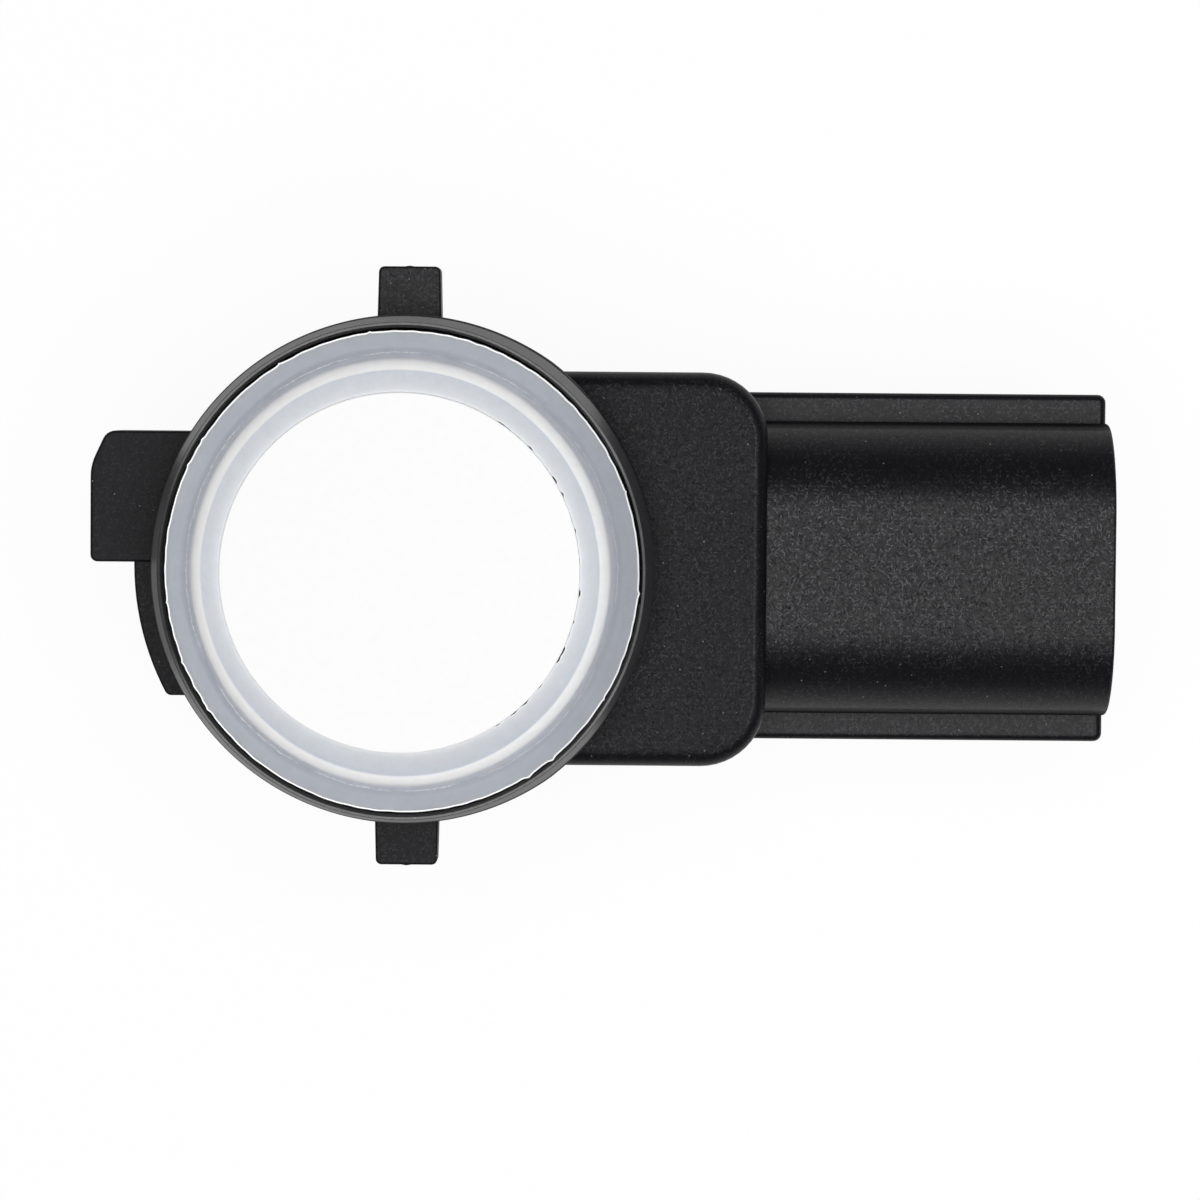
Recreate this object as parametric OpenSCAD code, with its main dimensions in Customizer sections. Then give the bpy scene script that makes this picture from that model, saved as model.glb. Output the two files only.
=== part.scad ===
// Ultrasonic parking sensor: a painted membrane in a soft ring, a flat box and a side connector.
// X runs towards the connector, Z runs out of the membrane, and the back lies on Z = 0.

/* [Transducer] */
// Thickness of the membrane
membrane_t = 0.8; // [0.6:0.05:1]
// Height of the membrane pot
pot_h = 9.9; // [9.4:0.1:10.6]
// Thickness of the pot's side wall
pot_wall = 1.1; // [0.9:0.05:1.3]
// Rounding of the pot's painted front edge
pot_edge_r = 0.25; // [0.1:0.05:0.4]
// Reach of the pot's rear flange
pot_flange_w = 0.8; // [0.6:0.05:0.9]
// Thickness of the pot's rear flange
pot_flange_t = 1; // [0.8:0.1:1.4]
// Width across the oval pocket behind the membrane
pocket_w = 9.6; // [9:0.1:10.4]
// Depth of the oval pocket behind the membrane
pocket_h = 1.8; // [1.4:0.1:2.2]
// Step from the pot's bore in to the rounded ends of that pocket
pocket_step = 0.4; // [0.2:0.05:0.6]
// Diameter of the piezo disc
piezo_d = 6.6; // [6:0.1:7.2]
// Thickness of the piezo disc
piezo_t = 0.5; // [0.3:0.05:0.8]
// Thickness of the carrier that closes the pot
carrier_t = 1.8; // [1.4:0.1:2.4]
// Diameter of the two contact pins
pin_d = 0.6; // [0.5:0.05:0.8]
// Diameter of the two fine leads
lead_d = 0.3; // [0.2:0.05:0.4]

/* [Decoupling ring] */
// Radial width of the ring between the head tube and the pot
ring_w = 2.1; // [1.9:0.05:2.4]
// Radial width of the collar round the membrane
collar_w = 1.3; // [1.1:0.05:1.4]
// Rounding of the collar's outer edge
collar_edge_r = 0.4; // [0.2:0.05:0.5]
// Rise of the collar's face from that edge up to the pot
collar_rise = 0.45; // [0.1:0.05:0.5]
// Drop from the membrane face to the collar
collar_drop = 0.6; // [0.4:0.05:0.8]
// Drop from the membrane face to the front lip
lip_drop = 2.1; // [1.9:0.05:2.4]
// Thickness of the front lip
lip_t = 1.7; // [1.4:0.1:2]
// Radius of the cove between collar and lip
cove_r = 0.4; // [0.2:0.05:0.6]
// Thickness of the foot under the pot
foot_t = 1.2; // [1:0.1:1.6]
// Width of the foot under the pot's rim
foot_w = 0.8; // [0.5:0.1:1]

/* [Head tube] */
// Outer diameter of the head tube
head_d = 21.4; // [21.2:0.1:22.2]
// Thickness of the head tube's wall
head_wall = 1.1; // [0.9:0.05:1.2]
// Radial width of the lead-in taper
lead_in_w = 0.42; // [0.35:0.01:0.45]
// Height of the lead-in taper
lead_in_h = 1.3; // [1:0.05:1.5]
// Step of the plain seat band that stands proud of the tube below it
band_step = 0.12; // [0.06:0.01:0.2]
// Height of the seat band's lower edge above the top of the box
band_lift = 0.25; // [0.15:0.05:0.5]
// Draft of the tube below the seat band
tube_draft = 0.25; // [0.2:0.01:0.3]
// Width of the land on the rim
rim_land = 0.1; // [0.08:0.01:0.14]
// Gap between the front lip and the rim
lip_gap = 0.14; // [0.1:0.01:0.16]
// Drop from the front lip to the rim
rim_drop = 0.25; // [0.1:0.05:0.4]
// Thickness of the floor under the ring
floor_t = 1.2; // [1:0.1:1.6]
// Width of that floor inside the ring's foot
floor_lip_w = 0.7; // [0.4:0.05:1]

/* [Box] */
// Width of the electronics box
box_w = 16.9; // [16.5:0.1:17.5]
// Distance from the head axis to the box's end wall
box_end_x = 15.42; // [15:0.05:16.5]
// Drop from the membrane face to the top of the box
box_drop = 6.4; // [6:0.1:7]
// Radius of the box's upright corners
box_corner_r = 2.8; // [2.6:0.1:3.2]
// Radius of the box's top edge
box_edge_r = 0.6; // [0.3:0.05:0.7]
// Step from the head tube's foot in to the round end of the body under it
body_step = 0.15; // [0.1:0.05:0.4]
// Thickness of the box walls
wall = 1.2; // [1:0.05:1.4]
// Width of the ledge that the board seats on
ledge_w = 0.6; // [0.4:0.05:0.7]
// Width of the rebate for the rear cover
rebate_w = 0.6; // [0.4:0.05:0.8]

/* [Connector] */
// Length of the connector shroud beyond the box
shroud_l = 15; // [13:0.1:18]
// Width of the shroud
shroud_w = 12.64; // [12:0.1:13.2]
// Height of the shroud
shroud_h = 10.2; // [9.6:0.1:10.4]
// Corner radius of the shroud
shroud_r = 4; // [3.6:0.1:4.4]
// Thickness of the shroud's wall
shroud_wall = 1.15; // [0.9:0.05:1.4]
// Drop from the top of the box to the top of the shroud
shroud_drop = 0.8; // [0.6:0.1:1.2]
// Depth of the socket
socket_h = 12; // [11:0.1:12.5]
// Step that widens the socket at its mouth
mouth_step = 0.25; // [0.1:0.05:0.4]
// Depth of that step
mouth_step_h = 0.8; // [0.4:0.1:1.2]
// Reach of the guide rails beyond the shroud
rail_w = 1.3; // [1:0.05:1.6]
// Thickness of the guide rails
rail_t = 1.4; // [1:0.1:2]
// Rounding of the guide rails' long edges
rail_edge_r = 0.3; // [0.1:0.05:0.4]
// Width of the latch nose under the shroud
nose_w = 4; // [3:0.1:5]
// Height of the latch nose
nose_h = 1.2; // [0.8:0.1:1.6]
// Length of the latch nose
nose_l = 3.6; // [2.6:0.1:4.4]
// Thickness of a square terminal
blade_t = 0.64; // [0.5:0.02:0.8]
// Distance from terminal to terminal
blade_pitch = 2.54; // [2.2:0.02:2.7]
// Distance from the socket mouth to the terminal tips
blade_recess = 5; // [4.4:0.1:6]

/* [Retaining lugs] */
// Width of the two narrow lugs
lug_w = 2.65; // [2:0.05:4]
// Reach of the two narrow lugs beyond the head
lug_reach = 2.19; // [1.6:0.01:2.8]
// Thickness of the two narrow lugs
lug_t = 1.5; // [1:0.1:2.4]
// Drop from the top of the box to the lugs
lug_drop = 0.8; // [0.6:0.1:1.4]
// Reach of the locating key beyond the head
key_reach = 3; // [2.4:0.05:3.6]
// Width of the locating key
key_w = 5.65; // [5:0.05:6]
// Offset of the key's lower side from the centre line
key_offset = 0.1; // [0:0.05:0.3]
// Thickness of the locating key
key_t = 2.6; // [2:0.1:3.2]
// Length of the key's corner bevel along its end
key_bevel_l = 1.5; // [0.8:0.05:2.2]
// Depth of the key's corner bevel
key_bevel_w = 0.7; // [0.4:0.05:1]
// Radius of the sweep from that bevel into the key's end
key_sweep_r = 2.2; // [0.5:0.1:3]
// Reach of the arc flange beyond the head
flange_reach = 0.93; // [0.7:0.01:1.2]
// Half width of the arc flange
flange_half_w = 5.65; // [5:0.05:6.2]
// Thickness of the arc flange
flange_t = 1.4; // [1:0.1:2]
// Step from the key down to the arc flange
flange_drop = 0.12; // [0.05:0.01:0.3]
// Rounding of the lug corners
lug_corner_r = 0.25; // [0.1:0.05:0.35]
// Rounding of the narrow lugs' upper and lower edges
lug_edge_r = 0.15; // [0.1:0.05:0.3]

/* [Electronics] */
// Thickness of the rear cover
cover_t = 1.2; // [1:0.1:1.6]
// Room for parts between the cover and the board
part_room = 5.8; // [5.4:0.1:6.4]
// Thickness of the circuit board
board_t = 1; // [0.8:0.1:1.2]
// Clear height between the board and the head floor
board_clear = 1.2; // [1:0.1:1.6]
// Length of the pin tails below the board
tail_l = 0.8; // [0.5:0.1:1.2]
// Diameter of the cover's posts under the board
post_d = 1.6; // [1.2:0.1:2]
// Length of the control chip's body
chip_l = 5; // [4.4:0.1:5.6]
// Width of the control chip's body
chip_w = 4; // [3.6:0.1:4.4]
// Height of the control chip's body
chip_h = 1.4; // [1:0.1:1.8]
// Number of chip legs on one side
chip_legs = 8; // [6:1:9]
// Diameter of the transformer's core
core_d = 4.6; // [4:0.1:5]
// Height of the transformer's core
core_h = 4.2; // [3.6:0.1:5]

/* [Hidden] */
$fn = 96;
// Clearance between pieces that slide together
fit = 0.04;
// Overlap that joins shapes of one moulding
bite = 0.5;
// Length by which a cut runs past a face
past = 1;

head_r = head_d / 2;
tube_top_r = head_r - band_step;
tube_r = tube_top_r - tube_draft;
head_bore_r = head_r - head_wall;
body_r = tube_r - body_step;
pot_r = head_bore_r - ring_w;
pot_bore_r = pot_r - pot_wall;
rim_r = head_r - lead_in_w;
lip_r = rim_r - rim_land - lip_gap;
collar_r = pot_r + collar_w;
pot_flange_r = pot_r + pot_flange_w;
foot_r = pot_r - foot_w;
floor_open_r = foot_r - floor_lip_w;

board_z = cover_t + part_room;
board_top_z = board_z + board_t;
floor_z = board_top_z + board_clear;
seat_z = floor_z + floor_t;
pot_z = seat_z + foot_t;
face_z = pot_z + pot_h;
membrane_in_z = face_z - membrane_t;
pocket_z = membrane_in_z - pocket_h;
carrier_top_z = pot_z + carrier_t;
pin_top_z = carrier_top_z + tail_l;
lip_z = face_z - lip_drop;
rim_z = lip_z - rim_drop;
shoulder_z = lip_z - lip_t;
box_top_z = face_z - box_drop;
lug_top_z = box_top_z - lug_drop;
band_z = box_top_z + band_lift;

shroud_top_z = box_top_z - shroud_drop;
shroud_mid_z = shroud_top_z - shroud_h / 2;
mouth_x = box_end_x + shroud_l;
socket_x = mouth_x - socket_h;
blade_tip_x = mouth_x - blade_recess;
blade_point_l = blade_t;
leg_x = box_end_x - wall - ledge_w - blade_t;

pin_inset = 1.3;
return_inset = 1.8;
pin_hot_x = piezo_d / 2 - pin_inset;
pin_return_x = return_inset - pot_bore_r;
lead_channel_gap = 0.3;
lead_channel_d = pin_d + 2 * lead_channel_gap;
foam_gap = 0.3;
corner_steps = 6;

board_end_x = box_end_x - wall - fit;
board_half_w = box_w / 2 - wall - fit;
board_round_r = body_r - wall - fit;
part_gap = 0.7;
row_y = board_half_w - part_gap;
winding_gap = 0.06;
core_flange_t = 0.7;
core_hub_d = core_d / 2;
core_x = (pin_hot_x + pin_return_x) / 2;
core_y = row_y - core_d / 2;
chip_x = (pin_hot_x + leg_x) / 2;
leg_reach = 0.9;
leg_w = 0.26;
leg_t = 0.2;
post_edge = 1.3;
post_turn = 147;
post_round_r = board_round_r - post_edge;
post_spots = [
    [leg_x - post_edge, board_half_w - post_edge],
    [leg_x - post_edge, post_edge - board_half_w],
    post_round_r * [cos(post_turn), sin(post_turn)],
    post_round_r * [cos(post_turn), -sin(post_turn)]];
capacitor_size = [3.6, 2.8, 1.9];
capacitor_spot = [core_x, capacitor_size[1] / 2 - row_y];
diode_size = [4.2, 2.5, 2.1];
diode_spot = [chip_x, row_y - diode_size[1] / 2];
small_cap_size = [2, 1.25, 0.9];
small_cap_pitch = 2.6;
small_cap_y = row_y - small_cap_size[1] / 2;
small_cap_x = chip_x - (chip_l + part_gap + small_cap_size[0]) / 2;
small_cap_spots = [
    [small_cap_x, small_cap_y],
    [small_cap_x, small_cap_y - small_cap_pitch],
    for (i = [0 : 2]) [small_cap_x + i * small_cap_pitch, -small_cap_y]];
resistor_size = [1.6, 0.8, 0.45];
resistor_pitch = 1.6;
resistor_x = leg_x - part_gap - (blade_t + resistor_size[0]) / 2;
resistor_spots = [
    for (i = [-1.5 : 1 : 1.5]) [resistor_x, i * resistor_pitch],
    [small_cap_x, small_cap_pitch - small_cap_y],
    [pin_return_x - resistor_pitch, -resistor_pitch]];

// Points of a round corner of radius r at b, between the sides towards a and c
function side(from, to) = (to - from) / norm(to - from);
function corner_arc(a, b, c, r) =
    let (u = side(b, a), w = side(b, c), half = acos(u * w) / 2)
    let (centre = b + (r / sin(half)) * side([0, 0], u + w))
    let (first = b + (r / tan(half)) * u - centre, last = b + (r / tan(half)) * w - centre)
    let (start = atan2(first[1], first[0]), turn = atan2(last[1], last[0]) - start)
    let (sweep = turn > 180 ? turn - 360 : turn < -180 ? turn + 360 : turn)
    [for (i = [0 : corner_steps])
        centre + r * [cos(start + sweep * i / corner_steps), sin(start + sweep * i / corner_steps)]];

// Outline with each corner rounded by its own radius, and left sharp where that is zero
module soft_polygon(points, radii) {
    count = len(points);
    polygon([for (i = [0 : count - 1])
        each radii[i] > 0
            ? corner_arc(points[(i + count - 1) % count], points[i], points[(i + 1) % count], radii[i])
            : [points[i]]]);
}

// Outline of the box with its round end under the head, drawn in by an even inset
module body_outline(inset) {
    half_w = box_w / 2 - inset;
    end_x = box_end_x - inset;
    corner_r = box_corner_r - inset;
    intersection() {
        circle(r = body_r - inset);
        translate([-body_r, -half_w])
            square([body_r + bite, 2 * half_w]);
    }
    translate([0, -half_w])
        square([end_x - corner_r, 2 * half_w]);
    translate([0, corner_r - half_w])
        square([end_x, 2 * (half_w - corner_r)]);
    for (way = [-1, 1])
        translate([end_x - corner_r, way * (half_w - corner_r)])
            circle(r = corner_r);
}

// Section of the shroud, drawn in by an even inset
module shroud_outline(inset) {
    half_w = shroud_w / 2 - inset;
    half_h = shroud_h / 2 - inset;
    corner_r = shroud_r - inset;
    square([2 * half_w, 2 * (half_h - corner_r)], center = true);
    square([2 * (half_w - corner_r), 2 * half_h], center = true);
    for (across = [-1, 1], up = [-1, 1])
        translate([across * (half_w - corner_r), up * (half_h - corner_r)])
            circle(r = corner_r);
}

// Turns a flat section so that it stands across X, with its second axis along Z
module along_x(from_x, to_x) {
    translate([from_x, 0, 0])
        rotate([90, 0, 90])
            linear_extrude(to_x - from_x)
                children();
}

// Section of a bar about its middle, with four equal round edges
module soft_bar(middle, size, edge_r) {
    x = size[0] / 2;
    y = size[1] / 2;
    translate(middle)
        soft_polygon([[x, -y], [x, y], [-x, y], [-x, -y]], [edge_r, edge_r, edge_r, edge_r]);
}

// Quarter round that fills an edge
module quarter_round(r) {
    intersection() {
        circle(r = r);
        square(r);
    }
}

// Box beside the head, with a rounded top edge that runs round both upright corners
module box_block() {
    half_w = box_w / 2;
    corner_x = box_end_x - box_corner_r;
    corner_y = half_w - box_corner_r;
    low_z = box_top_z - box_edge_r;
    linear_extrude(low_z)
        body_outline(0);
    translate([0, 0, low_z])
        linear_extrude(box_edge_r)
            intersection() {
                body_outline(box_edge_r);
                translate([0, -half_w])
                    square([box_end_x, box_w]);
            }
    for (way = [-1, 1]) {
        translate([0, way * (half_w - box_edge_r), low_z])
            mirror([0, way < 0 ? 1 : 0, 0])
                rotate([90, 0, 90])
                    linear_extrude(corner_x)
                        quarter_round(box_edge_r);
        translate([corner_x, way * corner_y, low_z])
            rotate([0, 0, way > 0 ? 0 : -90])
                rotate_extrude(angle = 90)
                    translate([box_corner_r - box_edge_r, 0])
                        quarter_round(box_edge_r);
    }
    translate([box_end_x - box_edge_r, corner_y, low_z])
        rotate([90, 0, 0])
            linear_extrude(2 * corner_y)
                quarter_round(box_edge_r);
}

// Solid head, tapered at the front so that it finds its way into the holder
module head_block() {
    foot_bevel = lug_corner_r;
    rotate_extrude()
        polygon([
            [0, floor_z],
            [tube_r - foot_bevel, floor_z],
            [tube_r, floor_z + foot_bevel],
            [tube_top_r, band_z],
            [head_r, band_z],
            [head_r, rim_z - lead_in_h],
            [rim_r, rim_z],
            [0, rim_z]]);
}

// Two narrow lugs, the wide locating key and the arc flange on the head
module retaining_lugs() {
    root = head_r - head_wall / 2;
    tip = head_r + lug_reach;
    for (way = [-1, 1])
        intersection() {
            translate([0, 0, lug_top_z - lug_t - past])
                linear_extrude(lug_t + 2 * past)
                    soft_polygon(
                        [[lug_w / 2, way * root], [lug_w / 2, way * tip], [-lug_w / 2, way * tip],
                            [-lug_w / 2, way * root]],
                        [0, lug_corner_r, lug_corner_r, 0]);
            along_x(-lug_w, lug_w)
                soft_bar([way * tip / 2, lug_top_z - lug_t / 2], [tip, lug_t], lug_edge_r);
        }
    key_x = -head_r - key_reach;
    key_y = key_offset + key_w;
    key_root = -sqrt(head_bore_r * head_bore_r - key_y * key_y) - head_wall / 2;
    translate([0, 0, lug_top_z - key_t])
        linear_extrude(key_t)
            soft_polygon(
                [[key_root, key_offset], [key_x, key_offset], [key_x, key_y - key_bevel_l],
                    [key_x + key_bevel_w, key_y], [key_root, key_y]],
                [0, lug_corner_r, key_sweep_r, 2 * lug_corner_r, 0]);
    flange_r = head_r + flange_reach;
    tight_w = flange_half_w - lug_corner_r;
    tight_r = flange_r - lug_corner_r;
    tight_x = -sqrt(tight_r * tight_r - tight_w * tight_w);
    translate([0, 0, lug_top_z - flange_drop - flange_t])
        linear_extrude(flange_t) {
            intersection() {
                circle(r = flange_r);
                translate([-flange_r, -tight_w])
                    square([flange_r, 2 * tight_w]);
            }
            translate([tight_x, -flange_half_w])
                square([-tight_x, 2 * flange_half_w]);
            for (way = [-1, 1])
                translate([tight_x, way * tight_w])
                    circle(r = lug_corner_r);
        }
}

// Shroud with its guide rails on the parting plane and a latch nose underneath
module connector_block() {
    half_w = shroud_w / 2 + rail_w;
    along_x(box_end_x - wall, mouth_x)
        translate([0, shroud_mid_z])
            shroud_outline(0);
    intersection() {
        translate([0, 0, shroud_mid_z - rail_t])
            linear_extrude(2 * rail_t)
                soft_polygon(
                    [[box_end_x - wall, -half_w], [mouth_x, -half_w], [mouth_x, half_w],
                        [box_end_x - wall, half_w]],
                    [0, lug_corner_r, lug_corner_r, 0]);
        along_x(box_end_x - wall - past, mouth_x + past)
            soft_bar([0, shroud_mid_z], [2 * half_w, rail_t], rail_edge_r);
    }
    nose_x = mouth_x - socket_h / 2;
    nose_z = shroud_mid_z - shroud_h / 2;
    translate([0, nose_w / 2, 0])
        rotate([90, 0, 0])
            linear_extrude(nose_w)
                polygon([
                    [nose_x - nose_l / 2, nose_z + bite],
                    [nose_x - nose_l / 2, nose_z - nose_h],
                    [nose_x - nose_l / 6, nose_z - nose_h],
                    [nose_x + nose_l / 2, nose_z],
                    [nose_x + nose_l / 2, nose_z + bite]]);
}

// Bent square blade from the socket to the board, with a pointed tip
module blade(y) {
    half_t = blade_t / 2;
    tail_z = board_z - tail_l;
    bend_r = blade_t;
    translate([0, y, shroud_mid_z])
        intersection() {
            translate([0, half_t, 0])
                rotate([90, 0, 0])
                    linear_extrude(blade_t)
                        soft_polygon(
                            [[leg_x - half_t, tail_z - shroud_mid_z], [leg_x + half_t, tail_z - shroud_mid_z],
                                [leg_x + half_t, -half_t], [blade_tip_x - blade_point_l, -half_t],
                                [blade_tip_x, -half_t / 2], [blade_tip_x, half_t / 2],
                                [blade_tip_x - blade_point_l, half_t], [leg_x - half_t, half_t]],
                            [0, 0, 0, 0, 0, 0, 0, bend_r]);
            translate([0, 0, tail_z - shroud_mid_z])
                linear_extrude(shroud_mid_z - tail_z + blade_t)
                    polygon([
                        [leg_x - half_t, -half_t],
                        [blade_tip_x - blade_point_l, -half_t],
                        [blade_tip_x, -half_t / 2],
                        [blade_tip_x, half_t / 2],
                        [blade_tip_x - blade_point_l, half_t],
                        [leg_x - half_t, half_t]]);
        }
}

module housing() {
    color("#232426")
        difference() {
            union() {
                head_block();
                box_block();
                connector_block();
                retaining_lugs();
            }
            // seat of the ring and the wider mouth for its front lip
            translate([0, 0, seat_z])
                cylinder(r = head_bore_r, h = rim_z - seat_z + past);
            translate([0, 0, shoulder_z])
                cylinder(r = lip_r + lip_gap, h = rim_z - shoulder_z + past);
            translate([0, 0, floor_z - past])
                cylinder(r = floor_open_r, h = floor_t + 2 * past);
            // chamber for the board, its ledge, the pocket beside the head and the cover's rebate
            translate([0, 0, -past])
                linear_extrude(board_top_z + past)
                    body_outline(wall);
            translate([0, 0, board_top_z - bite])
                linear_extrude(board_clear + bite)
                    body_outline(wall + ledge_w);
            translate([0, 0, board_top_z - bite])
                linear_extrude(box_top_z - wall - board_top_z + bite)
                    difference() {
                        body_outline(wall + ledge_w);
                        circle(r = head_r + ledge_w);
                        translate([-body_r, -box_w / 2])
                            square([body_r, box_w]);
                    }
            translate([0, 0, -past])
                linear_extrude(cover_t + past)
                    body_outline(wall - rebate_w);
            // socket and the tight slots for the terminals
            along_x(socket_x, mouth_x + past)
                translate([0, shroud_mid_z])
                    shroud_outline(shroud_wall);
            along_x(mouth_x - mouth_step_h, mouth_x + past)
                translate([0, shroud_mid_z])
                    shroud_outline(shroud_wall - mouth_step);
            for (spot = [-1, 0, 1])
                along_x(leg_x, socket_x + past)
                    translate([spot * blade_pitch, shroud_mid_z])
                        square(blade_t + 2 * fit, center = true);
        }
}

module decoupling_ring() {
    collar_z = face_z - collar_drop;
    edge_x = collar_r - collar_edge_r;
    edge_z = collar_z - collar_edge_r;
    color("#b9bec8") {
        rotate_extrude()
            difference() {
                polygon([
                    [pot_r + fit, collar_z + collar_rise],
                    [edge_x, collar_z],
                    [edge_x, edge_z],
                    [collar_r, edge_z],
                    [collar_r, lip_z + cove_r],
                    [collar_r + cove_r, lip_z],
                    [lip_r, lip_z],
                    [lip_r, shoulder_z],
                    [head_bore_r - fit, shoulder_z],
                    [head_bore_r - fit, seat_z],
                    [foot_r, seat_z],
                    [foot_r, pot_z],
                    [pot_flange_r + fit, pot_z],
                    [pot_flange_r + fit, pot_z + pot_flange_t],
                    [pot_r + fit, pot_z + pot_flange_t]]);
                translate([collar_r + cove_r, lip_z + cove_r])
                    circle(r = cove_r);
            }
        translate([0, 0, edge_z])
            rotate_extrude()
                translate([edge_x, 0])
                    quarter_round(collar_edge_r);
    }
}

module membrane_pot() {
    low_h = pot_h - pot_edge_r;
    color("#f2f2f0")
        difference() {
            translate([0, 0, pot_z]) {
                cylinder(r = pot_flange_r, h = pot_flange_t);
                cylinder(r = pot_r, h = low_h);
                cylinder(r = pot_r - pot_edge_r, h = pot_h);
                translate([0, 0, low_h])
                    rotate_extrude()
                        translate([pot_r - pot_edge_r, 0])
                            quarter_round(pot_edge_r);
            }
            translate([0, 0, pot_z - past])
                cylinder(r = pot_bore_r, h = pocket_z - pot_z + past);
            translate([0, 0, pocket_z - bite])
                linear_extrude(pocket_h + bite)
                    intersection() {
                        circle(r = pot_bore_r - pocket_step);
                        square([2 * pot_r, pocket_w], center = true);
                    }
        }
}

module piezo_disc() {
    color("#c9b98a")
        translate([0, 0, membrane_in_z - piezo_t])
            cylinder(d = piezo_d, h = piezo_t);
}

module damping_plug() {
    color("#5b5f63")
        translate([0, 0, carrier_top_z])
            difference() {
                cylinder(r = pot_bore_r - fit, h = pocket_z - foam_gap - carrier_top_z);
                for (x = [pin_hot_x, pin_return_x])
                    translate([x, 0, -past])
                        cylinder(d = lead_channel_d, h = pot_h + 2 * past);
            }
}

module contact_carrier() {
    color("#3a4048")
        translate([0, 0, pot_z])
            difference() {
                cylinder(r = pot_bore_r - fit, h = carrier_t);
                for (x = [pin_hot_x, pin_return_x])
                    translate([x, 0, -past])
                        cylinder(d = pin_d + 2 * fit, h = carrier_t + 2 * past);
            }
}

module contact_pin(x) {
    translate([x, 0, board_z - tail_l])
        cylinder(d = pin_d, h = pin_top_z - board_z + tail_l);
}

module contact_pin_hot() {
    color("#c8c4b4")
        contact_pin(pin_hot_x);
}

module contact_pin_return() {
    color("#c8c4b4")
        contact_pin(pin_return_x);
}

module lead_hot() {
    color("#b5713c")
        translate([pin_hot_x, 0, pin_top_z])
            cylinder(d = lead_d, h = membrane_in_z - piezo_t - pin_top_z);
}

module lead_return() {
    color("#b5713c")
        translate([pin_return_x, 0, pin_top_z])
            cylinder(d = lead_d, h = membrane_in_z - pin_top_z);
}

module circuit_board() {
    color("#1f5a3a")
        translate([0, 0, board_z])
            difference() {
                linear_extrude(board_t)
                    body_outline(wall + fit);
                for (x = [pin_hot_x, pin_return_x])
                    translate([x, 0, -past])
                        cylinder(d = pin_d + 2 * fit, h = board_t + 2 * past);
                for (spot = [-1, 0, 1])
                    translate([leg_x, spot * blade_pitch, board_t / 2])
                        cube([blade_t + 2 * fit, blade_t + 2 * fit, board_t + 2 * past], center = true);
            }
}

// Hangs a part under the board at a spot
module under_board(spot, part_h) {
    translate([spot[0], spot[1], board_z - part_h])
        children();
}

module block(size) {
    translate([-size[0] / 2, -size[1] / 2, 0])
        cube(size);
}

module control_chip() {
    stand = leg_t;
    pitch = chip_l / chip_legs;
    color("#17181a")
        under_board([chip_x, 0], chip_h + stand)
            block([chip_l, chip_w, chip_h]);
    color("#c0c4c8")
        for (i = [0 : chip_legs - 1], way = [-1, 1])
            translate([chip_x - chip_l / 2 + pitch * (i + 0.5) - leg_w / 2, 0, board_z])
                rotate([90, 0, 90])
                    linear_extrude(leg_w)
                        mirror([way < 0 ? 1 : 0, 0])
                            polygon([
                                [chip_w / 2 - leg_t, -chip_h / 2 - stand],
                                [chip_w / 2 + leg_reach / 2, -chip_h / 2 - stand],
                                [chip_w / 2 + leg_reach / 2, -leg_t],
                                [chip_w / 2 + leg_reach, -leg_t],
                                [chip_w / 2 + leg_reach, 0],
                                [chip_w / 2 + leg_reach / 2 - leg_t, 0],
                                [chip_w / 2 + leg_reach / 2 - leg_t, leg_t - chip_h / 2 - stand],
                                [chip_w / 2 - leg_t, leg_t - chip_h / 2 - stand]]);
}

module transformer_core() {
    color("#3c3a3c")
        under_board([core_x, core_y], core_h) {
            cylinder(d = core_hub_d, h = core_h);
            cylinder(d = core_d, h = core_flange_t);
            translate([0, 0, core_h - core_flange_t])
                cylinder(d = core_d, h = core_flange_t);
        }
}

module transformer_winding() {
    color("#b5652f")
        under_board([core_x, core_y], core_h - core_flange_t - winding_gap / 2)
            difference() {
                cylinder(d = core_d - 4 * winding_gap, h = core_h - 2 * core_flange_t - winding_gap);
                translate([0, 0, -past])
                    cylinder(d = core_hub_d + winding_gap, h = core_h + 2 * past);
            }
}

module storage_capacitor() {
    color("#c79a3a")
        under_board(capacitor_spot, capacitor_size[2])
            block(capacitor_size);
}

module protection_diode() {
    color("#1b1c1e")
        under_board(diode_spot, diode_size[2])
            block(diode_size);
}

module ceramic_capacitors() {
    color("#a98d63")
        for (spot = small_cap_spots)
            under_board(spot, small_cap_size[2])
                block(small_cap_size);
}

module resistors() {
    color("#26282b")
        for (spot = resistor_spots)
            under_board(spot, resistor_size[2])
                block(resistor_size);
}

module terminal_supply() {
    color("#c9c6b8")
        blade(blade_pitch);
}

module terminal_signal() {
    color("#c9c6b8")
        blade(0);
}

module terminal_ground() {
    color("#c9c6b8")
        blade(-blade_pitch);
}

module rear_cover() {
    color("#2a2b2d") {
        linear_extrude(cover_t)
            body_outline(wall - rebate_w + fit);
        for (spot = post_spots)
            translate([spot[0], spot[1], 0])
                cylinder(d = post_d, h = board_z);
    }
}

housing();
decoupling_ring();
membrane_pot();
piezo_disc();
damping_plug();
contact_carrier();
contact_pin_hot();
contact_pin_return();
lead_hot();
lead_return();
circuit_board();
control_chip();
transformer_core();
transformer_winding();
storage_capacitor();
protection_diode();
ceramic_capacitors();
resistors();
terminal_supply();
terminal_signal();
terminal_ground();
rear_cover();
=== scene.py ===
import math

import bpy
import numpy as np
from mathutils import Matrix, Vector


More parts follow.
